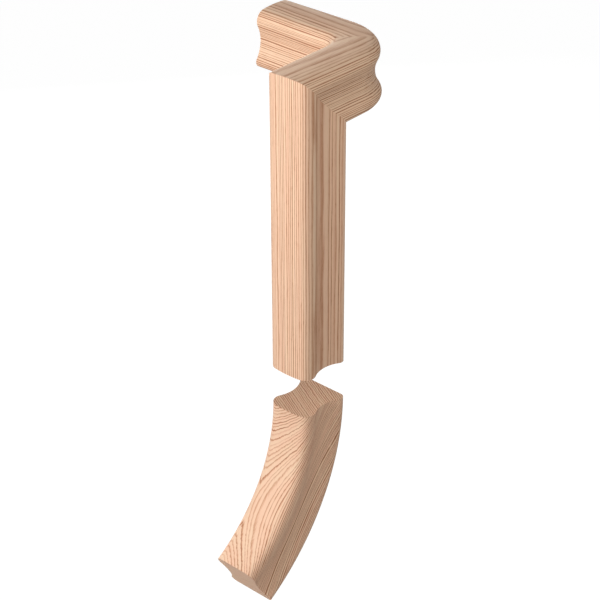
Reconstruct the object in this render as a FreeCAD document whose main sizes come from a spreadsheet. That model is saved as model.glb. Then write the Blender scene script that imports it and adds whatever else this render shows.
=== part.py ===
import FreeCAD, Part
import math
import os
import Sketcher

# Two-rise, left-hand quarter-turn handrail gooseneck with its loose easing, in millimetres.
# A stem hangs from a short level leg, which turns left through a rounded quarter turn. All four lengths
# are the same handrail section. Stem, level leg and turn leg are glued and dowelled at two mitres, and
# the easing is supplied loose, so it stands clear below the stem.
#
# Frame: the origin is the centre of the square end where the level handrail joins. +Y points out of that
# end, +Z is up, and +X runs along the level leg, away from the stem.

SIZES = {
    # handrail section
    "rail_width": 60.3,
    "rail_height": 66.0,
    "shoulder_width": 55.7,
    "shoulder_radius": 12.0,
    "crown_radius": 140.0,
    "cove_radius": 36.5,
    "foot_radius": 6.4,
    # centrelines of stem, level leg and turn leg
    "drop": 324.2,
    "level_run": 105.9,
    "turn_run": 138.5,
    "turn_radius": 45.5,
    # loose easing, its radius measured to the middle of the section
    "easing_gap": 48.7,
    "easing_radius": 221.7,
    "easing_angle": 60.0,
    # glue dowels and their holes
    "dowel_diameter": 9.5,
    "dowel_length": 50.0,
    "dowel_chamfer": 1.0,
    "flute_depth": 0.5,
    "flute_width": 1.0,
    "flute_count": 16,
    "dowel_clearance": 0.1,
    "dowel_end_gap": 1.5,
    "stem_dowel_spacing": 22.0,
    "turn_dowel_spacing": 24.0,
}

X_AXIS = FreeCAD.Vector(1, 0, 0)
Y_AXIS = FreeCAD.Vector(0, 1, 0)
Z_AXIS = FreeCAD.Vector(0, 0, 1)

# A mitre halves the right angle between two legs.
MITRE_ANGLE = 45

# Turns within a sketch plane: the crown towards -X, the quarter turn's centre beside the section, and
# the slant of a mitre face.
CROWN_TO_FRONT = FreeCAD.Rotation(Z_AXIS, 90)
TURN_ON_LEFT = FreeCAD.Rotation(Y_AXIS, 180)
TO_MITRE = FreeCAD.Rotation(Y_AXIS, MITRE_ANGLE)

# The stem's centreline, and how far the middle of the quarter turn lies inside the corner of the two
# level centrelines.
STEM_PLACE = [("x", "-dims.level_run"), ("y", "-dims.turn_run")]
TURN_INSET = f"dims.turn_radius * (1 - cos({MITRE_ANGLE} deg))"

# Point positions on a sketch curve, and the sketch's own axes.
START, END, CENTRE = range(1, 4)
ORIGIN = (-1, START)
H_AXIS, V_AXIS = -1, -2

doc = FreeCAD.newDocument("gooseneck_fitting")
sheet = doc.addObject("Spreadsheet::Sheet", "dims")
for row, (alias, value) in enumerate(SIZES.items(), start=1):
    sheet.set(f"A{row}", alias)
    sheet.set(f"B{row}", str(value))
    sheet.setAlias(f"B{row}", alias)
doc.recompute()


def new_body(label, place=(), rotation=FreeCAD.Rotation()):
    """Add a body, turned by rotation, with its place given as (axis letter, expression) pairs."""
    body = doc.addObject("PartDesign::Body", label)
    body.Label = label
    body.Placement = FreeCAD.Placement(FreeCAD.Vector(), rotation)
    for axis, expression in place:
        body.setExpression(f"Placement.Base.{axis}", expression)
    return body


def new_sketch(body, name, plane, rotation=FreeCAD.Rotation(), offset=()):
    """Add a sketch on one of the body's origin planes, turned and offset within that plane's own axes."""
    sketch = body.newObject("Sketcher::SketchObject", name)
    support = next(f for f in body.Origin.OriginFeatures if f.Role == plane)
    sketch.AttachmentSupport = (support, [""])
    sketch.MapMode = "FlatFace"
    sketch.AttachmentOffset = FreeCAD.Placement(FreeCAD.Vector(), rotation)
    for axis, expression in offset:
        sketch.setExpression(f"AttachmentOffset.Base.{axis}", expression)
    return sketch


def dimension(sketch, name, expression, kind, *where):
    """Add a named dimension to a sketch and bind it to the sheet."""
    index = sketch.addConstraint(Sketcher.Constraint(kind, *where))
    sketch.renameConstraint(index, name)
    sketch.setExpression(f"Constraints.{name}", expression)


def arc_between(centre, first, last):
    """Arc round a centre, counter-clockwise from the first point to the last."""
    start = math.atan2(first.y - centre.y, first.x - centre.x)
    end = math.atan2(last.y - centre.y, last.x - centre.x)
    circle = Part.Circle(centre, Z_AXIS, centre.distanceToPoint(first))
    return Part.ArcOfCircle(circle, start, end)


def towards(start, target, distance):
    """Point at a distance from start, on the way to target."""
    return start + (target - start).normalize() * distance


def mirrored(point):
    """The same point on the other side of the section's upright axis."""
    return FreeCAD.Vector(-point.x, point.y, 0)


def section_curves():
    """Outline of the handrail, centred on its own middle.

    The flat underside turns through small rounded feet into the finger coves, which run out to the
    rounded shoulders under a shallow crown. Every stretch is tangent to the next. The cove's centre
    is the point that lies its own radius outside both the foot's arc and the shoulder's arc.
    """
    foot_radius = sheet.foot_radius
    shoulder_radius = sheet.shoulder_radius
    half_height = sheet.rail_height / 2
    crown = FreeCAD.Vector(0, half_height - sheet.crown_radius, 0)
    foot = FreeCAD.Vector(sheet.rail_width / 2 - foot_radius, foot_radius - half_height, 0)
    shoulder = FreeCAD.Vector(sheet.shoulder_width / 2 - shoulder_radius, 0, 0)
    shoulder.y = crown.y + math.sqrt((sheet.crown_radius - shoulder_radius) ** 2 - shoulder.x ** 2)

    to_foot = sheet.cove_radius + foot_radius
    to_shoulder = sheet.cove_radius + shoulder_radius
    span = foot.distanceToPoint(shoulder)
    along = (to_foot ** 2 - to_shoulder ** 2 + span ** 2) / (2 * span)
    up = (shoulder - foot).normalize()
    outward = FreeCAD.Vector(up.y, -up.x, 0)
    cove = foot + up * along + outward * math.sqrt(to_foot ** 2 - along ** 2)

    base_end = FreeCAD.Vector(foot.x, -half_height, 0)
    foot_end = towards(foot, cove, foot_radius)
    cove_end = towards(shoulder, cove, shoulder_radius)
    crown_end = towards(crown, shoulder, sheet.crown_radius)
    return [
        Part.LineSegment(mirrored(base_end), base_end),
        arc_between(foot, base_end, foot_end),
        arc_between(cove, cove_end, foot_end),
        arc_between(shoulder, cove_end, crown_end),
        arc_between(crown, crown_end, mirrored(crown_end)),
        arc_between(mirrored(shoulder), mirrored(crown_end), mirrored(cove_end)),
        arc_between(mirrored(cove), mirrored(foot_end), mirrored(cove_end)),
        arc_between(mirrored(foot), mirrored(foot_end), mirrored(base_end)),
    ]


def rail_section(body, plane, rotation=FreeCAD.Rotation(), offset=()):
    """Sketch the handrail's section, crown towards the sketch's +Y, and bind every size in it."""
    sketch = new_sketch(body, f"{body.Label}_section", plane, rotation, offset)
    curves = sketch.addGeometry(section_curves(), False)
    base, foot, cove, shoulder, crown, far_shoulder, far_cove, far_foot = curves
    joints = [
        (base, END, foot, START),
        (foot, END, cove, END),
        (cove, START, shoulder, START),
        (shoulder, END, crown, START),
        (crown, END, far_shoulder, START),
        (far_shoulder, END, far_cove, END),
        (far_cove, START, far_foot, START),
        (far_foot, END, base, START),
    ]
    for joint in joints:
        sketch.addConstraint(Sketcher.Constraint("Tangent", *joint))
    for near, far in ((foot, far_foot), (cove, far_cove), (shoulder, far_shoulder)):
        sketch.addConstraint(Sketcher.Constraint("Equal", near, far))
    sketch.addConstraint(Sketcher.Constraint("Symmetric", base, START, base, END, V_AXIS))
    sketch.addConstraint(Sketcher.Constraint("PointOnObject", crown, CENTRE, V_AXIS))

    base_length = sheet.rail_width - 2 * sheet.foot_radius
    shoulder_reach = sheet.shoulder_width / 2 - sheet.shoulder_radius
    crown_depth = sheet.crown_radius - sheet.rail_height / 2
    dimension(sketch, "base_length", "dims.rail_width - 2 * dims.foot_radius",
              "DistanceX", base, START, base, END, base_length)
    dimension(sketch, "base_depth", "dims.rail_height / 2",
              "DistanceY", base, START, *ORIGIN, sheet.rail_height / 2)
    dimension(sketch, "crown_depth", "dims.crown_radius - dims.rail_height / 2",
              "DistanceY", crown, CENTRE, *ORIGIN, crown_depth)
    dimension(sketch, "near_shoulder", "dims.shoulder_width / 2 - dims.shoulder_radius",
              "DistanceX", *ORIGIN, shoulder, CENTRE, shoulder_reach)
    dimension(sketch, "far_shoulder", "dims.shoulder_width / 2 - dims.shoulder_radius",
              "DistanceX", far_shoulder, CENTRE, *ORIGIN, shoulder_reach)
    for name, curve in (("foot", foot), ("cove", cove), ("shoulder", shoulder), ("crown", crown)):
        radius = f"{name}_radius"
        dimension(sketch, radius, f"dims.{radius}", "Radius", curve, sheet.get(radius))
    return sketch


def swing_axis(sketch, size_name, upright):
    """Add the line that the section swings round: upright and beside it, or level and above its crown."""
    radius = sheet.get(size_name)
    corner = FreeCAD.Vector(radius, radius, 0)
    start = FreeCAD.Vector(radius, 0, 0) if upright else FreeCAD.Vector(0, radius, 0)
    line = sketch.addGeometry(Part.LineSegment(start, corner), True)
    sketch.addConstraint(Sketcher.Constraint("Vertical" if upright else "Horizontal", line))
    sketch.addConstraint(Sketcher.Constraint("PointOnObject", line, START, H_AXIS if upright else V_AXIS))
    dimension(sketch, "swing_across", f"dims.{size_name}", "DistanceX", *ORIGIN, line, END, radius)
    dimension(sketch, "swing_up", f"dims.{size_name}", "DistanceY", *ORIGIN, line, END, radius)


def add_pad(body, sketch, length, reverse=False):
    """Carry a section straight along its normal."""
    pad = body.newObject("PartDesign::Pad", f"{body.Label}_straight")
    pad.Profile = sketch
    pad.Reversed = reverse
    pad.setExpression("Length", length)
    return pad


def add_swing(body, sketch, angle, reverse=False):
    """Carry a section round its swing axis."""
    swing = body.newObject("PartDesign::Revolution", f"{body.Label}_curve")
    swing.Profile = sketch
    swing.ReferenceAxis = (sketch, ["Axis0"])
    swing.Reversed = reverse
    swing.setExpression("Angle", angle)
    return swing


def cut_stem_mitre(body, keep_below):
    """Cut the body at the mitre between stem and level leg, which runs through the body's origin.

    The cutter is a right-angled triangle on the side that is cut away, one rail height past each corner.
    """
    reach = sheet.rail_height
    outer = FreeCAD.Vector(-reach, reach, 0)
    inner = FreeCAD.Vector(reach, -reach, 0)
    square = FreeCAD.Vector(reach, reach, 0) if keep_below else FreeCAD.Vector(-reach, -reach, 0)
    sketch = new_sketch(body, f"{body.Label}_mitre_outline", "XZ_Plane")
    slope, second, third = sketch.addGeometry([
        Part.LineSegment(outer, inner),
        Part.LineSegment(inner, square),
        Part.LineSegment(square, outer),
    ], False)
    for first, following in ((slope, second), (second, third), (third, slope)):
        sketch.addConstraint(Sketcher.Constraint("Coincident", first, END, following, START))
    upright, level = (second, third) if keep_below else (third, second)
    sketch.addConstraint(Sketcher.Constraint("Symmetric", slope, START, slope, END, *ORIGIN))
    sketch.addConstraint(Sketcher.Constraint("Vertical", upright))
    sketch.addConstraint(Sketcher.Constraint("Horizontal", level))
    dimension(sketch, "slope_across", "dims.rail_height", "DistanceX", *ORIGIN, slope, END, reach)
    dimension(sketch, "slope_up", "dims.rail_height", "DistanceY", *ORIGIN, slope, START, reach)
    cut = body.newObject("PartDesign::Pocket", f"{body.Label}_mitre")
    cut.Profile = sketch
    cut.Type = "ThroughAll"
    cut.SideType = "Symmetric"


def drill_dowel_holes(body, joint, plane, offset, reverse):
    """Drill the two blind dowel holes of a joint, square to its mitre face."""
    sketch = new_sketch(body, f"{body.Label}_{joint}_hole_outline", plane, TO_MITRE, offset)
    spacing = sheet.get(f"{joint}_dowel_spacing")
    radius = sheet.dowel_diameter / 2 + sheet.dowel_clearance
    centres = [FreeCAD.Vector(0, side * spacing / 2, 0) for side in (-1, 1)]
    low, high = sketch.addGeometry([Part.Circle(centre, Z_AXIS, radius) for centre in centres], False)
    sketch.addConstraint(Sketcher.Constraint("Equal", low, high))
    sketch.addConstraint(Sketcher.Constraint("Symmetric", low, CENTRE, high, CENTRE, *ORIGIN))
    sketch.addConstraint(Sketcher.Constraint("PointOnObject", high, CENTRE, V_AXIS))
    dimension(sketch, "spacing", f"dims.{joint}_dowel_spacing",
              "DistanceY", low, CENTRE, high, CENTRE, spacing)
    dimension(sketch, "radius", "dims.dowel_diameter / 2 + dims.dowel_clearance", "Radius", low, radius)
    holes = body.newObject("PartDesign::Pocket", f"{body.Label}_{joint}_holes")
    holes.Profile = sketch
    holes.Type = "Length"
    holes.Reversed = reverse
    holes.setExpression("Length", "dims.dowel_length / 2 + dims.dowel_end_gap")


def make_stem():
    """Upright drop: crown to the front, square at the foot, mitred at the top."""
    body = new_body("stem", STEM_PLACE)
    sketch = rail_section(body, "XY_Plane", CROWN_TO_FRONT, [("z", "-dims.drop")])
    add_pad(body, sketch, "dims.drop + dims.rail_height / 2")
    cut_stem_mitre(body, keep_below=True)
    drill_dowel_holes(body, "stem", "XY_Plane", (), reverse=False)
    return body


def make_level_leg():
    """Level leg: mitred on to the stem, with the first half of the quarter turn at its far end."""
    body = new_body("level_leg", STEM_PLACE)
    sketch = rail_section(body, "YZ_Plane", offset=[("z", "dims.level_run - dims.turn_radius")])
    swing_axis(sketch, "turn_radius", upright=True)
    add_pad(body, sketch, "dims.level_run - dims.turn_radius + dims.rail_height / 2", reverse=True)
    add_swing(body, sketch, str(MITRE_ANGLE))
    cut_stem_mitre(body, keep_below=False)
    drill_dowel_holes(body, "stem", "XY_Plane", (), reverse=True)
    middle = [("x", TURN_INSET), ("z", f"dims.level_run - {TURN_INSET}")]
    drill_dowel_holes(body, "turn", "YZ_Plane", middle, reverse=False)
    return body


def make_turn_leg():
    """Turn leg: the second half of the quarter turn, and the straight that ends square at the origin."""
    body = new_body("turn_leg")
    sketch = rail_section(body, "XZ_Plane", TURN_ON_LEFT, [("z", "dims.turn_run - dims.turn_radius")])
    swing_axis(sketch, "turn_radius", upright=True)
    add_pad(body, sketch, "dims.turn_run - dims.turn_radius")
    add_swing(body, sketch, str(MITRE_ANGLE), reverse=True)
    middle = [("x", f"{TURN_INSET} - dims.turn_run"), ("z", f"-{TURN_INSET}")]
    drill_dowel_holes(body, "turn", "YZ_Plane", middle, reverse=True)
    return body


def make_easing():
    """Loose easing: the section swung forward and down from upright to the slope of the stair."""
    body = new_body("easing", STEM_PLACE + [("z", "-dims.drop - dims.easing_gap")])
    sketch = rail_section(body, "XY_Plane", CROWN_TO_FRONT)
    swing_axis(sketch, "easing_radius", upright=False)
    add_swing(body, sketch, "dims.easing_angle")
    return body


def make_dowel(label, place, rotation):
    """Fluted glue dowel with chamfered ends, centred on its own middle along its own Z."""
    body = new_body(label, place, rotation)
    outline = new_sketch(body, f"{label}_outline", "XY_Plane")
    radius = sheet.dowel_diameter / 2
    circle = outline.addGeometry(Part.Circle(FreeCAD.Vector(), Z_AXIS, radius), False)
    outline.addConstraint(Sketcher.Constraint("Coincident", circle, CENTRE, *ORIGIN))
    dimension(outline, "radius", "dims.dowel_diameter / 2", "Radius", circle, radius)
    pin = add_pad(body, outline, "dims.dowel_length")
    pin.SideType = "Symmetric"
    doc.recompute()

    rims = [f"Edge{i}" for i, edge in enumerate(pin.Shape.Edges, start=1) if edge.Closed]
    chamfer = body.newObject("PartDesign::Chamfer", f"{label}_chamfer")
    chamfer.Base = (pin, rims)
    chamfer.setExpression("Size", "dims.dowel_chamfer")

    groove = new_sketch(body, f"{label}_flute_outline", "XY_Plane")
    half_width = sheet.flute_width / 2
    apex = FreeCAD.Vector(radius - sheet.flute_depth, 0, 0)
    lip = FreeCAD.Vector(radius, half_width, 0)
    far_lip = FreeCAD.Vector(radius, -half_width, 0)
    lower, mouth, upper = groove.addGeometry([
        Part.LineSegment(apex, far_lip),
        Part.LineSegment(far_lip, lip),
        Part.LineSegment(lip, apex),
    ], False)
    for first, following in ((lower, mouth), (mouth, upper), (upper, lower)):
        groove.addConstraint(Sketcher.Constraint("Coincident", first, END, following, START))
    groove.addConstraint(Sketcher.Constraint("Symmetric", mouth, START, mouth, END, H_AXIS))
    groove.addConstraint(Sketcher.Constraint("PointOnObject", lower, START, H_AXIS))
    dimension(groove, "mouth_reach", "dims.dowel_diameter / 2",
              "DistanceX", *ORIGIN, mouth, START, radius)
    dimension(groove, "mouth_width", "dims.flute_width",
              "DistanceY", mouth, START, mouth, END, sheet.flute_width)
    dimension(groove, "depth", "dims.flute_depth",
              "DistanceX", lower, START, mouth, START, sheet.flute_depth)
    cut = body.newObject("PartDesign::Pocket", f"{label}_flute")
    cut.Profile = groove
    cut.Type = "ThroughAll"
    cut.SideType = "Symmetric"
    doc.recompute()

    flutes = body.newObject("PartDesign::PolarPattern", f"{label}_flutes")
    flutes.Originals = [cut]
    flutes.Axis = (next(f for f in body.Origin.OriginFeatures if f.Role == "Z_Axis"), [""])
    flutes.setExpression("Occurrences", "dims.flute_count")
    body.Tip = flutes
    return body


parts = [make_stem(), make_level_leg(), make_turn_leg(), make_easing()]

for side, sign in (("left", "+"), ("right", "-")):
    place = [("x", "-dims.level_run"), ("y", f"-dims.turn_run {sign} dims.stem_dowel_spacing / 2")]
    parts.append(make_dowel(f"stem_dowel_{side}", place, TO_MITRE))

across_turn_mitre = FreeCAD.Rotation(Z_AXIS, X_AXIS + Y_AXIS)
for side, sign in (("upper", ""), ("lower", "-")):
    place = [
        ("x", f"-{TURN_INSET}"),
        ("y", f"{TURN_INSET} - dims.turn_run"),
        ("z", f"{sign}dims.turn_dowel_spacing / 2"),
    ]
    parts.append(make_dowel(f"turn_dowel_{side}", place, across_turn_mitre))

doc.recompute()

failed = [item.Label for item in doc.Objects if {"Invalid", "Error"} & set(item.State)]
for part in parts:
    if part.Shape.isNull() or not part.Shape.isValid():
        failed.append(part.Label)
if failed:
    raise RuntimeError("did not build: " + ", ".join(failed))

os.makedirs("parts", exist_ok=True)
for part in parts:
    part.Shape.exportStep(f"parts/{part.Label}.step")
    print(f"{part.Label}: {len(part.Shape.Solids)} solid, {part.Shape.Volume / 1000:.1f} cm3")
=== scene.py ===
# %% [markdown]
# # A handrail gooseneck in red oak
#
# A gooseneck lifts a sloping stair rail to the height of a level landing rail. This one has an upright
# stem, a short level leg, a rounded quarter turn to the left, and a loose curved easing that meets the
# sloping rail below. All the wood is one handrail section, so the solids already have the right shape.
# They could be rebuilt here as swept surfaces, but that would only copy them. We keep them, and put the
# work into what makes oak look like oak: rings, fibres, pores and rays that run through each piece in
# its own direction, because each piece was sawn from its own board.

# %% Load the solids
import math

import bpy
import numpy as np
from mathutils import Matrix, Vector


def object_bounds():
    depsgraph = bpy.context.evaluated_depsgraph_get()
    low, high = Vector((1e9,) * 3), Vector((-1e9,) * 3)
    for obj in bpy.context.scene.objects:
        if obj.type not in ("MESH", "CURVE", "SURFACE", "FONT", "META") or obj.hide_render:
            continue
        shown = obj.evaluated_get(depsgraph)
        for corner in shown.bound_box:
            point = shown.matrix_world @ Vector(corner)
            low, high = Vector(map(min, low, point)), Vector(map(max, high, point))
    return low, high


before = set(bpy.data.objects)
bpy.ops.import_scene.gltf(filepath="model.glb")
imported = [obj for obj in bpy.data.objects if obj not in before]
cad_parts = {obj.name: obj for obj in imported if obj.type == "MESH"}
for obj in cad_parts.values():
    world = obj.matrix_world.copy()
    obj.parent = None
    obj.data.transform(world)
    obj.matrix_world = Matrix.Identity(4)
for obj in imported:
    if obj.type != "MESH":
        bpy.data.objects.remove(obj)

scene = bpy.context.scene
cad_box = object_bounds()
print("pieces:", ", ".join(sorted(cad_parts)))

# %% [markdown]
# ## Camera
#
# The picture looks down on the fitting from in front of its stem, so that the stem shows its crown on
# the left and a finger cove on the right. A camera could be aimed with a Track To constraint. Here its
# three axes are written out from the angles instead, because the picture's own small roll then fits in
# as one more turn. A long lens keeps the upright edges almost parallel.

# %% Camera from its angles
VIEW_TURN = math.radians(41.307)
VIEW_DOWN = math.radians(31.139)
VIEW_ROLL = math.radians(-0.2)
CAMERA_PLACE = Vector((-1.3632, -1.2345, 0.7648))
# The focal length in pixels over the picture's width in pixels, and the sensor's width in millimetres.
FOCAL_SHARE = 1783.479 / 600
SENSOR_WIDTH = 36
NEAREST_SEEN = 0.05

level_right = Vector((math.sin(VIEW_TURN), -math.cos(VIEW_TURN), 0))
heading = Vector((math.cos(VIEW_TURN), math.sin(VIEW_TURN), 0))
forward = heading * math.cos(VIEW_DOWN) - Vector((0, 0, math.sin(VIEW_DOWN)))
level_up = level_right.cross(forward)
right = level_right * math.cos(VIEW_ROLL) + level_up * math.sin(VIEW_ROLL)
up = level_up * math.cos(VIEW_ROLL) - level_right * math.sin(VIEW_ROLL)

camera = bpy.data.objects.new("camera", bpy.data.cameras.new("camera"))
camera.matrix_world = Matrix.Translation(CAMERA_PLACE) @ Matrix((right, up, -forward)).transposed().to_4x4()
camera.data.sensor_fit = "HORIZONTAL"
camera.data.sensor_width = SENSOR_WIDTH
camera.data.lens = SENSOR_WIDTH * FOCAL_SHARE
camera.data.clip_start = NEAREST_SEEN
scene.collection.objects.link(camera)
scene.camera = camera
print(f"camera: lens {camera.data.lens:.1f} mm, {CAMERA_PLACE.length:.2f} m from the rail end")

# %% [markdown]
# ## Nodes and colours
#
# Every finish below is a small graph of nodes. They could be wired by hand in the Shader Editor, but
# then nothing says why each is there. One helper adds a node, sets its options and connects or fills its
# inputs, so the code reads as a list of steps. Colours are written as the familiar hex values and turned
# to the linear numbers that a renderer adds and multiplies.

# %% Node helper and colour helper
def add(tree, kind, inputs=(), **options):
    """Add a node, set its options, and link or fill each of its named inputs."""
    made = tree.nodes.new("ShaderNode" + kind)
    for name, value in options.items():
        setattr(made, name, value)
    for place, value in dict(inputs).items():
        if isinstance(value, bpy.types.NodeSocket):
            tree.links.new(value, made.inputs[place])
        else:
            made.inputs[place].default_value = value
    return made


def linear(hex_colour):
    """sRGB hex to linear RGBA: the low end is divided by 12.92, the rest follows a 2.4 power."""
    srgb = np.array([int(hex_colour[i:i + 2], 16) for i in (1, 3, 5)]) / 255
    low = srgb / 12.92
    high = ((srgb + 0.055) / 1.055) ** 2.4
    return (*np.where(srgb <= 0.04045, low, high).tolist(), 1.0)


print("mid grey #808080 is", round(linear("#808080")[0], 3), "in linear numbers")

# %% [markdown]
# ## Red oak, and the sizes of its grain
#
# Red oak is ring-porous: each spring the tree lays down a row of wide vessels, then denser summer wood.
# Sawn and planed, a ring shows as a thin dark line and a broad pale band. The fibres run along the
# tree, so every stripe is long in that direction, and each ray is a thin sheet that runs from the
# middle of the tree outwards.
#
# A flat picture of wood could be wrapped round the section, but it would break at the shoulders and
# give the ends the wrong grain. A solid pattern has neither fault: it is a rule for every point inside
# the board, and the shape cuts through it as the moulding cutter did. On the curved easing, the same
# flat rings then turn into the sweeping lines that a bent shape cut from a straight plank has.

# %% Sizes of the grain, in millimetres
# Each size is taken across the rings, along the rings, and along the fibres. A pixel of the picture is
# about 1.1 mm of wood. A fibre is really some hundredths of a millimetre wide and a vessel about 0.3 mm,
# so both are drawn coarser, as bundles of fibres and rows of vessels, or they would not show.
GRAIN = {
    "wander": (40, 40, 450),
    "stir": (2.2, 2.2, 60),
    "ripple": (16, 8, 90),
    "fibre": (0.8, 0.8, 45),
    "pore": (0.6, 0.6, 7),
    "ray": (6, 0.7, 16),
    "band": (7, 42, 400),
    "blush": (5, 20, 400),
}
print("longest streaks:", max(size[2] for size in GRAIN.values()), "mm")

# %% [markdown]
# ## A point's place in its board
#
# A pattern needs to know which way the tree grew. The Object coordinates of a piece could be used as
# they are, but then every piece would have the same grain, and the two mitres would not show. A Mapping
# node turns them to the board's own axes, and counts in millimetres from the middle of the tree.

# %% Board axes and streaks
# Millimetres in a metre.
MM = 1000
# A noise with one finer layer on top: more would only add detail smaller than a pixel.
NOISE_DETAIL = 1.0


def grain_axes(fibre, across):
    """Rows of the turn to the board's axes: across the rings, along the rings, along the fibres."""
    along = Vector(fibre).normalized()
    radial = (Vector(across) - along * along.dot(Vector(across))).normalized()
    return Matrix((radial, along.cross(radial), along))


def place_in_board(tree, place, turn, centre, sawn_at):
    """Board millimetres = turn (1000 place - centre), plus the board's distance from the tree's middle."""
    return add(tree, "Mapping", {
        "Vector": place,
        "Scale": (MM, MM, MM),
        "Rotation": turn.to_euler(),
        "Location": Vector((sawn_at, 0, 0)) - turn @ Vector(centre),
    }).outputs["Vector"]


def streaks(tree, board, size):
    """A noise with blots of this size: the place is divided by the size, and read at scale 1."""
    shrunk = add(tree, "Mapping", {"Vector": board, "Scale": [1 / mm for mm in size]}).outputs[0]
    return add(tree, "TexNoise", {"Vector": shrunk, "Scale": 1.0, "Detail": NOISE_DETAIL}).outputs["Fac"]


print("an upright board's axes:", [tuple(row) for row in grain_axes((0, 0, 1), (0, 1, 0))])

# %% [markdown]
# ## Growth rings
#
# Blender's Wave texture draws even stripes, which look like veneer printed on paper. Real rings differ in
# width, bend slowly, and some years are bolder than others. So we count rings ourselves: the distance
# across the rings, pushed about by noises, is divided by the width of a ring. The whole part of that
# number says which ring a point is in, and the fraction says how far through it.

# %% Tones of one ring
# Share of a ring, and how pale the wood is there: the row of vessels, then the summer wood.
RING_TONES = [(0.0, 0.5), (0.06, 0.0), (0.2, 0.05), (0.42, 0.7), (0.7, 1.0), (0.93, 0.95), (1.0, 0.5)]
# The tone that counts as plain wood, and how boldly the faintest and the boldest year show.
RING_MIDDLE = 0.62
FAINT_RING = 0.3
BOLD_RING = 0.8


def fill_ramp(node, stops):
    """Give a colour ramp its stops, each a position and a colour. New ones start halfway, then move."""
    ramp = node.color_ramp
    while len(ramp.elements) < len(stops):
        ramp.elements.new(0.5)
    for element, (position, colour) in zip(ramp.elements, stops):
        element.position = position
        element.color = colour


print("a ring is darkest at", min(RING_TONES, key=lambda stop: stop[1])[0], "of its width")

# %% Rings pushed about
# How far the rings are pushed about, in millimetres: slow bends, lean and rich years, ripples as long as
# a hand, and the small unevenness of each line.
WANDER = 1.6
UNEVEN = 3.2
RIPPLE = 1.1
STIR = 0.9
# A run of lean or rich years, in millimetres of growth.
LEAN_YEARS = 7


def layered(tree, start, layers):
    """Start, plus source times reach for every layer."""
    total = start
    for source, reach in layers:
        total = add(tree, "Math", {0: source, 1: reach, 2: total}, operation="MULTIPLY_ADD").outputs[0]
    return total


def growth_rings(tree, board, noise, ring_width):
    """Tone of the rings, about nought: the tone at this share of a ring, times the ring's boldness."""
    depth = add(tree, "SeparateXYZ", {0: board}).outputs["X"]
    years = {"W": depth, "Scale": 1 / LEAN_YEARS, "Detail": NOISE_DETAIL}
    years = add(tree, "TexNoise", years, noise_dimensions="1D").outputs["Fac"]
    pushes = [(noise["wander"], WANDER), (years, UNEVEN), (noise["ripple"], RIPPLE), (noise["stir"], STIR)]
    grown = layered(tree, depth, pushes)
    count = add(tree, "Math", {0: grown, 1: ring_width}, operation="DIVIDE").outputs[0]
    share = add(tree, "Math", {0: count}, operation="FRACT").outputs[0]
    number = add(tree, "Math", {0: count}, operation="FLOOR").outputs[0]

    tone = add(tree, "ValToRGB", {0: share})
    fill_ramp(tone, [(position, (pale, pale, pale, 1)) for position, pale in RING_TONES])
    tone = add(tree, "Math", {0: tone.outputs[0], 1: RING_MIDDLE}, operation="SUBTRACT").outputs[0]
    bold = add(tree, "TexWhiteNoise", {"W": number}, noise_dimensions="1D").outputs["Value"]
    bold = add(tree, "MapRange", {"Value": bold, "To Min": FAINT_RING, "To Max": BOLD_RING}).outputs[0]
    return add(tree, "Math", {0: tone, 1: bold}, operation="MULTIPLY").outputs[0]


print(f"rings are pushed about by up to {WANDER + UNEVEN + RIPPLE + STIR:.1f} mm")

# %% [markdown]
# ## How a face cuts the board
#
# The same board looks different on each of its faces. Where the surface runs square to the rings, every
# row of vessels is cut across; where it skims along a ring, a row is opened over a wide stripe. A face
# that cuts the fibres at a slant opens them all. Each face could get a finish of its own, but the
# mouldings turn smoothly from one face to the next. The surface normal tells a single finish how it is
# cut at every point.

# %% Facing
def facing(tree, place, axis):
    """How squarely a face looks along an axis: the size of the normal's dot product with it, 0 to 1."""
    dot = add(tree, "VectorMath", {0: place.outputs["Normal"], 1: axis}, operation="DOT_PRODUCT")
    return add(tree, "Math", {0: dot.outputs["Value"]}, operation="ABSOLUTE").outputs[0]


print("a face that leans 45 degrees from an axis faces it by", round(math.cos(math.pi / 4), 2))

# %% [markdown]
# ## How pale the oak is
#
# The eye reads oak as one wood because all its marks are lighter and darker tones of one colour. Each
# mark could be painted in a colour of its own, but then they fight where they cross. Here the rings,
# bands, fibres, vessels and rays add up to one number, how pale the wood is at a point. On a face sawn
# straight across, the fibres' open ends scatter light, and the rings fade to an even tan.

# %% Paleness
# How pale plain wood is, and what a vessel, a ray and end grain take away.
MIDDLE_TONE = 0.69
PORE_DARK = -0.16
RAY_DARK = -0.1
END_DARK = -0.3
# Rays stand apart, because only the peaks of their noise count, from where one starts to where it is full.
RAY_STARTS = 0.6
RAY_FULL = 0.7
# How squarely a face cuts the fibres across: where end grain starts, and where a straight saw cut does.
END_STARTS = 0.55
SAWN_STARTS = 0.78
SAWN_FULL = 0.92
SAWN_EVEN = 0.7
SAWN_TONE = 0.9


def oak_paleness(tree, noise, rings, pores, end, tone, bands, fuzz):
    """Paleness = middle + rings + bands + fibres - vessels - rays - end grain, evened out on saw cuts."""
    rays = add(tree, "MapRange", {"Value": noise["ray"], "From Min": RAY_STARTS, "From Max": RAY_FULL})
    ends = add(tree, "MapRange", {"Value": end, "From Min": END_STARTS})
    pale = layered(tree, tone + MIDDLE_TONE - (bands + fuzz) / 2, [
        (rings, 1.0),
        (noise["band"], bands),
        (noise["fibre"], fuzz),
        (pores, PORE_DARK),
        (rays.outputs[0], RAY_DARK),
        (ends.outputs[0], END_DARK),
    ])
    sawn = {"Value": end, "From Min": SAWN_STARTS, "From Max": SAWN_FULL, "To Max": SAWN_EVEN}
    sawn = add(tree, "MapRange", sawn).outputs[0]
    return add(tree, "Mix", {"Factor": sawn, "A": pale, "B": SAWN_TONE}).outputs[0]


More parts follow.
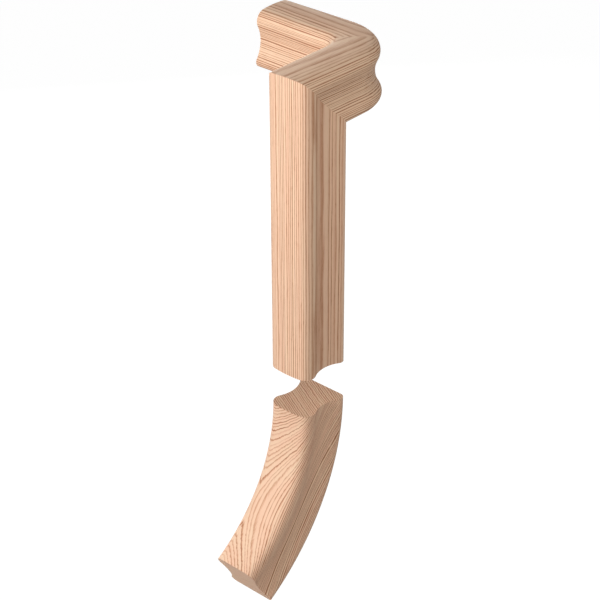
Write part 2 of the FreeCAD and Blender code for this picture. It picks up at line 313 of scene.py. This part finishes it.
print(f"plain wood is {MIDDLE_TONE} pale, and a vessel in it {MIDDLE_TONE + PORE_DARK:.2f}")

# %% [markdown]
# ## The oak's colour
#
# A colour ramp turns paleness into oak, from the brown of a cut vessel to the cream of summer wood. That
# alone is too even: red oak has its name from the rose that lies in patches over a board. A second hue
# on the ramp would tie the rose to the rings, so a tint is multiplied over the ramp's colour instead.
# Faces that cut the fibres at a slant are darkened: a little for end grain's own darkness, mostly as
# painted shade for the easing's top end, which lies under the stem.

# %% Oak colours
OAK_TONES = [(0.0, "#ac7354"), (0.25, "#cc9b7b"), (0.5, "#e1b697"), (0.75, "#ecc6a7"), (1.0, "#f5d4b6")]
# How squarely a face cuts the fibres across, and how much it is darkened: painted shade where the easing's
# top end lies under the stem, with a little of end grain's own darkness.
END_GRAIN_AND_PAINTED_SHADE = [(END_STARTS, "#ffffff"), (0.8, "#dcdad3"), (SAWN_FULL, "#ffffff")]
# The tint of a rosy patch, the share of it that lies over the whole board, and the noise it grows from.
ROSE = "#ffeeee"
EVEN_ROSE = 0.3
ROSE_STARTS = 0.35
ROSE_FULL = 0.65


def oak_colour(tree, noise, pale, end, rose):
    """The ramp's colour at this paleness, times the darkening of slant-cut end grain (mostly painted
    shade), times the rose of this board.
    """
    colour = add(tree, "ValToRGB", {0: pale})
    fill_ramp(colour, [(position, linear(shade)) for position, shade in OAK_TONES])
    # Painted shade: faces cut at a slant to the fibres, above all the easing's top end under the stem, are
    # darkened in colour.
    shade = add(tree, "ValToRGB", {0: end})
    fill_ramp(shade, [(position, linear(kept)) for position, kept in END_GRAIN_AND_PAINTED_SHADE])
    shaded = {"Factor": 1.0, "A": colour.outputs[0], "B": shade.outputs[0]}
    shaded = add(tree, "Mix", shaded, data_type="RGBA", blend_type="MULTIPLY").outputs["Result"]
    blush = add(tree, "MapRange", {
        "Value": noise["blush"],
        "From Min": ROSE_STARTS,
        "From Max": ROSE_FULL,
        "To Min": EVEN_ROSE * rose,
        "To Max": rose,
    }).outputs[0]
    tinted = {"Factor": blush, "A": shaded, "B": linear(ROSE)}
    return add(tree, "Mix", tinted, data_type="RGBA", blend_type="MULTIPLY").outputs["Result"]


print("oak runs from", OAK_TONES[0][1], "to", OAK_TONES[-1][1])

# %% [markdown]
# ## The oak finish
#
# The fitting is sold planed and sanded, with nothing on it: no stain, no varnish. Bare oak is matt, so
# it shows no clear highlight, and its vessels stay open as fine scratches along the grain. The scratches
# could be cut into the mesh, but they are a tenth of a millimetre deep, and bump is enough for that.

# %% Red oak
# Vessels stand apart, because only the peaks of their noise count.
PORE_STARTS = 0.56
PORE_FULL = 0.68
# A vessel is a deeper scratch than the fibres beside it. Heights are in metres.
PORE_DEPTH = -1.5
OAK_BUMP = 0.35
BUMP_HEIGHT = 0.0001
# Dark early wood is a little rougher than summer wood.
EARLY_ROUGH = 0.75
SUMMER_ROUGH = 0.6
OAK_IOR = 1.45
OAK_SPECULAR = 0.2


def red_oak(name, fibre, across, centre, sawn_at, ring_width, tone, square, skimmed, bands, fuzz, rose):
    """Bare sanded oak: the board's grain gives its colour, its relief and its roughness."""
    material = bpy.data.materials.new(name)
    material.use_nodes = True
    tree = material.node_tree
    shader = tree.nodes["Principled BSDF"]
    turn = grain_axes(fibre, across)
    place = add(tree, "TexCoord")
    board = place_in_board(tree, place.outputs["Object"], turn, centre, sawn_at)
    noise = {part: streaks(tree, board, size) for part, size in GRAIN.items()}
    end = facing(tree, place, turn[2])
    skim = facing(tree, place, turn[0])

    rings = growth_rings(tree, board, noise, ring_width)
    opened = add(tree, "MapRange", {"Value": skim, "To Min": square, "To Max": skimmed}).outputs[0]
    rings = add(tree, "Math", {0: rings, 1: opened}, operation="MULTIPLY").outputs[0]
    pores = {"Value": noise["pore"], "From Min": PORE_STARTS, "From Max": PORE_FULL}
    pores = add(tree, "MapRange", pores).outputs[0]
    pale = oak_paleness(tree, noise, rings, pores, end, tone, bands, fuzz)
    tree.links.new(oak_colour(tree, noise, pale, end, rose), shader.inputs["Base Color"])

    relief = layered(tree, noise["fibre"], [(pores, PORE_DEPTH)])
    bump = add(tree, "Bump", {"Height": relief, "Strength": OAK_BUMP, "Distance": BUMP_HEIGHT})
    tree.links.new(bump.outputs[0], shader.inputs["Normal"])
    rough = add(tree, "MapRange", {"Value": pale, "To Min": EARLY_ROUGH, "To Max": SUMMER_ROUGH})
    tree.links.new(rough.outputs[0], shader.inputs["Roughness"])
    shader.inputs["IOR"].default_value = OAK_IOR
    shader.inputs["Specular IOR Level"].default_value = OAK_SPECULAR
    return material


print(f"bare oak: roughness {SUMMER_ROUGH} to {EARLY_ROUGH}, IOR {OAK_IOR}")

# %% [markdown]
# ## One board for each piece
#
# The joiner cut each leg from a straight length of rail, so the fibres follow the stem up, the level leg
# across and the turn leg along its own way. The easing is sawn from a plank, so its fibres follow the
# chord of its curve. One finish on all four would be quicker, but the change of grain is what shows the
# mitres. So each board says which way its fibres and rings lie, where it was sawn from the tree, how
# wide its rings are, how pale it is, how boldly rings show on faces square to them and on faces that
# skim them, how marked its bands and fibres are, and how rosy it is.

# %% Oak on the four lengths of rail
BOARDS = {
    "stem": dict(
        fibre=(0, 0, 1), across=(-0.256, 0.967, 0), centre=(-105.9, -138.5, 0),
        sawn_at=78.65, ring_width=2.6, tone=0.05,
        square=1.8, skimmed=1.75, bands=0.3, fuzz=0.5, rose=0.45),
    "level_leg": dict(
        fibre=(1, 0, -0.022), across=(0, 0.25, 0.968), centre=(0, -138.5, 0),
        sawn_at=267.95, ring_width=2.3, tone=0.05,
        square=2.9, skimmed=1.0, bands=0.8, fuzz=0.8, rose=0.1),
    "turn_leg": dict(
        fibre=(0, 1, 0.017), across=(0.3, 0, 0.953), centre=(0, 0, 0),
        sawn_at=239.15, ring_width=2.3, tone=0.02,
        square=2.4, skimmed=1.05, bands=1.3, fuzz=0.8, rose=0.2),
    "easing": dict(
        fibre=(-0.606, 0, -0.796), across=(0.733, -0.389, -0.558), centre=(-170, -138.5, -480),
        sawn_at=58.5, ring_width=2.1, tone=0.23,
        square=3.6, skimmed=1.7, bands=0.6, fuzz=0.8, rose=0.6),
}
for piece, board in BOARDS.items():
    oak = red_oak(f"red_oak_{piece}", **board)
    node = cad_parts[piece]
    node.data.materials.clear()
    node.data.materials.append(oak)
    print(f"{piece}: {len(oak.node_tree.nodes)} nodes, fibres along {board['fibre']}")

# %% [markdown]
# ## Beech dowels
#
# Two fluted dowels sit inside each mitre and only show when the joint is taken apart. They are turned
# from beech, which is even and pale, with no rings to speak of, and is known by the small brown flecks
# of its rays. Oak could be used again here, but a bought dowel is hardly ever oak.

# %% Beech
BEECH_TONES = [(0.0, "#a97f59"), (1.0, "#dfbd95")]
# Sizes in millimetres, across the rings, along the rings, and along the fibres.
BEECH_FIBRE = (0.5, 0.5, 20)
BEECH_FLECK = (1.2, 0.3, 2.5)
BEECH_ACROSS = (0.3, 0.5, -0.6)
# Where each noise starts to count and where it is full.
FIBRE_STARTS = 0.3
FIBRE_FULL = 0.7
FLECK_STARTS = 0.58
FLECK_FULL = 0.66
# How pale the darkest fibre is, what a pale one adds, and what a fleck takes away.
BEECH_PLAIN = 0.4
FIBRE_PALE = 0.5
FLECK_DARK = -0.35
FLECK_ROUGH = 0.65
BEECH_ROUGH = 0.55
BEECH_BUMP = 0.2


def beech(name, fibre):
    """Turned beech: paleness = plain + fibres - flecks, on a ramp of two tans."""
    material = bpy.data.materials.new(name)
    material.use_nodes = True
    tree = material.node_tree
    shader = tree.nodes["Principled BSDF"]
    place = add(tree, "TexCoord").outputs["Object"]
    board = place_in_board(tree, place, grain_axes(fibre, BEECH_ACROSS), (0, 0, 0), 0)
    fibres = {"Value": streaks(tree, board, BEECH_FIBRE), "From Min": FIBRE_STARTS, "From Max": FIBRE_FULL}
    fibres = add(tree, "MapRange", fibres).outputs[0]
    flecks = {"Value": streaks(tree, board, BEECH_FLECK), "From Min": FLECK_STARTS, "From Max": FLECK_FULL}
    flecks = add(tree, "MapRange", flecks).outputs[0]
    pale = layered(tree, BEECH_PLAIN, [(fibres, FIBRE_PALE), (flecks, FLECK_DARK)])
    colour = add(tree, "ValToRGB", {0: pale})
    fill_ramp(colour, [(position, linear(shade)) for position, shade in BEECH_TONES])
    tree.links.new(colour.outputs[0], shader.inputs["Base Color"])
    rough = add(tree, "MapRange", {"Value": pale, "To Min": FLECK_ROUGH, "To Max": BEECH_ROUGH})
    tree.links.new(rough.outputs[0], shader.inputs["Roughness"])
    bump = add(tree, "Bump", {"Height": fibres, "Strength": BEECH_BUMP, "Distance": BUMP_HEIGHT})
    tree.links.new(bump.outputs[0], shader.inputs["Normal"])
    return material


print("beech runs from", BEECH_TONES[0][1], "to", BEECH_TONES[-1][1])

# %% Beech on the four dowels
DOWEL_FIBRES = {"stem_dowel": (1, 0, 1), "turn_dowel": (1, 1, 0)}
for joint, fibre in DOWEL_FIBRES.items():
    wood = beech(f"beech_{joint}", fibre)
    for name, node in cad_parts.items():
        if name.startswith(joint):
            node.data.materials.clear()
            node.data.materials.append(wood)
            print(f"{name}: {wood.name}")

# %% [markdown]
# ## Floor
#
# The fitting hangs a little above a wide sheet of white paper. A curved studio backdrop would hide the
# far edge, but a sheet this wide has its edge too far away to notice, and one flat face is enough.

# %% Floor
FLOOR_DROP = 0.3
FLOOR_REACH = 12.0

low, high = (np.array(corner) for corner in cad_box)
middle = (low + high) / 2
corners = np.array([(-1, -1), (1, -1), (1, 1), (-1, 1)]) * FLOOR_REACH + middle[:2]
paper = bpy.data.meshes.new("floor")
paper.from_pydata(np.column_stack([corners, np.full(4, low[2] - FLOOR_DROP)]).tolist(), [], [(0, 1, 2, 3)])
floor = bpy.data.objects.new("floor", paper)
scene.collection.objects.link(floor)
print(f"floor {FLOOR_DROP * MM:.0f} mm under the easing's foot")

# %% [markdown]
# ## White behind the oak
#
# White paper could be lit until it burns out, but that much light would bleach the oak too. Instead, the
# paper adds a light of its own that only the camera sees, so it reads as white while the object's shadow
# still falls on it. The room beyond the paper does the same: white to the camera, dim to the oak.

# %% White paper
# The grey that lights the oak from below, the darker grey that takes the shadow, and the glow over it.
PAPER = "#b0b0b0"
PAPER_IN_VIEW = "#5c5c5c"
PAPER_GLOW = 0.975


def seen_directly(tree):
    """One where a ray comes from the camera, or from it by a mirror or through glass; otherwise nought."""
    path = add(tree, "LightPath")
    seen = path.outputs["Is Camera Ray"]
    for way in ("Is Glossy Ray", "Is Transmission Ray"):
        seen = add(tree, "Math", {0: seen, 1: path.outputs[way]}, operation="MAXIMUM").outputs[0]
    return seen


white_paper = bpy.data.materials.new("white_paper")
white_paper.use_nodes = True
tree = white_paper.node_tree
tree.nodes.clear()
plain = add(tree, "BsdfDiffuse", {"Color": linear(PAPER)})
shaded = add(tree, "BsdfDiffuse", {"Color": linear(PAPER_IN_VIEW)})
glow = add(tree, "Emission", {"Strength": PAPER_GLOW})
seen = add(tree, "AddShader", {0: shaded.outputs[0], 1: glow.outputs[0]})
mix = add(tree, "MixShader", {0: seen_directly(tree), 1: plain.outputs[0], 2: seen.outputs[0]})
add(tree, "OutputMaterial", {"Surface": mix.outputs[0]})
paper.materials.append(white_paper)
print(f"paper glows by {PAPER_GLOW} to the camera")

# %% White room
ROOM_LIGHT = 0.06
ROOM_IN_VIEW = 1.0

world = bpy.data.worlds.new("studio")
world.use_nodes = True
tree = world.node_tree
level = add(tree, "MapRange", {"Value": seen_directly(tree), "To Min": ROOM_LIGHT, "To Max": ROOM_IN_VIEW})
tree.links.new(level.outputs[0], tree.nodes["Background"].inputs["Strength"])
tree.nodes["Background"].inputs["Color"].default_value = linear("#ffffff")
scene.world = world
scene.view_settings.view_transform = "Standard"
print(f"room: {ROOM_IN_VIEW} to the camera, {ROOM_LIGHT} to the oak")

# %% [markdown]
# ## Lamps
#
# One large soft lamp stands on the left, and makes the crowns of the stem and the easing the brightest
# faces. Three weaker ones open the rest: one beside the camera for the sides, a touch warm, one overhead
# for the tops, one behind so that the back reads too. The white room itself adds very little. A sky
# picture would be quicker, but it lights every side alike, and then the mouldings look flat.
#
# An area lamp's power is set from the light that should arrive: a matt face that looks straight at a
# lamp of power P, at distance d, shows its own colour times P / (pi d) squared.

# %% Four soft lamps
# Name: degrees round from +X, degrees up, metres away, metres across, light that arrives, its colour.
LAMPS = {
    "key": (156, 16, 1.25, 0.8, 1.02, "#ffffff"),
    "fill": (246, 22, 1.5, 1.3, 0.51, "#fffdf7"),
    "top": (250, 72, 1.6, 1.2, 0.17, "#ffffff"),
    "back": (50, 4, 2.0, 1.2, 0.6, "#ffffff"),
}
LAMP_TARGET = Vector((-0.1, -0.12, -0.1))
for name, (round_angle, up_angle, distance, size, brightness, colour) in LAMPS.items():
    lamp = bpy.data.objects.new(name, bpy.data.lights.new(name, "AREA"))
    lamp.data.size = size
    lamp.data.color = linear(colour)[:3]
    lamp.data.energy = brightness * (math.pi * distance) ** 2
    lamp.visible_camera = False
    turned = math.radians(round_angle)
    raised = math.radians(up_angle)
    flat = Vector((math.cos(turned), math.sin(turned), 0))
    direction = flat * math.cos(raised) + Vector((0, 0, math.sin(raised)))
    aim = direction.to_track_quat("Z", "Y").to_matrix().to_4x4()
    lamp.matrix_world = Matrix.Translation(LAMP_TARGET + direction * distance) @ aim
    scene.collection.objects.link(lamp)
    print(f"{name}: {lamp.data.energy:.0f} W at {distance} m")
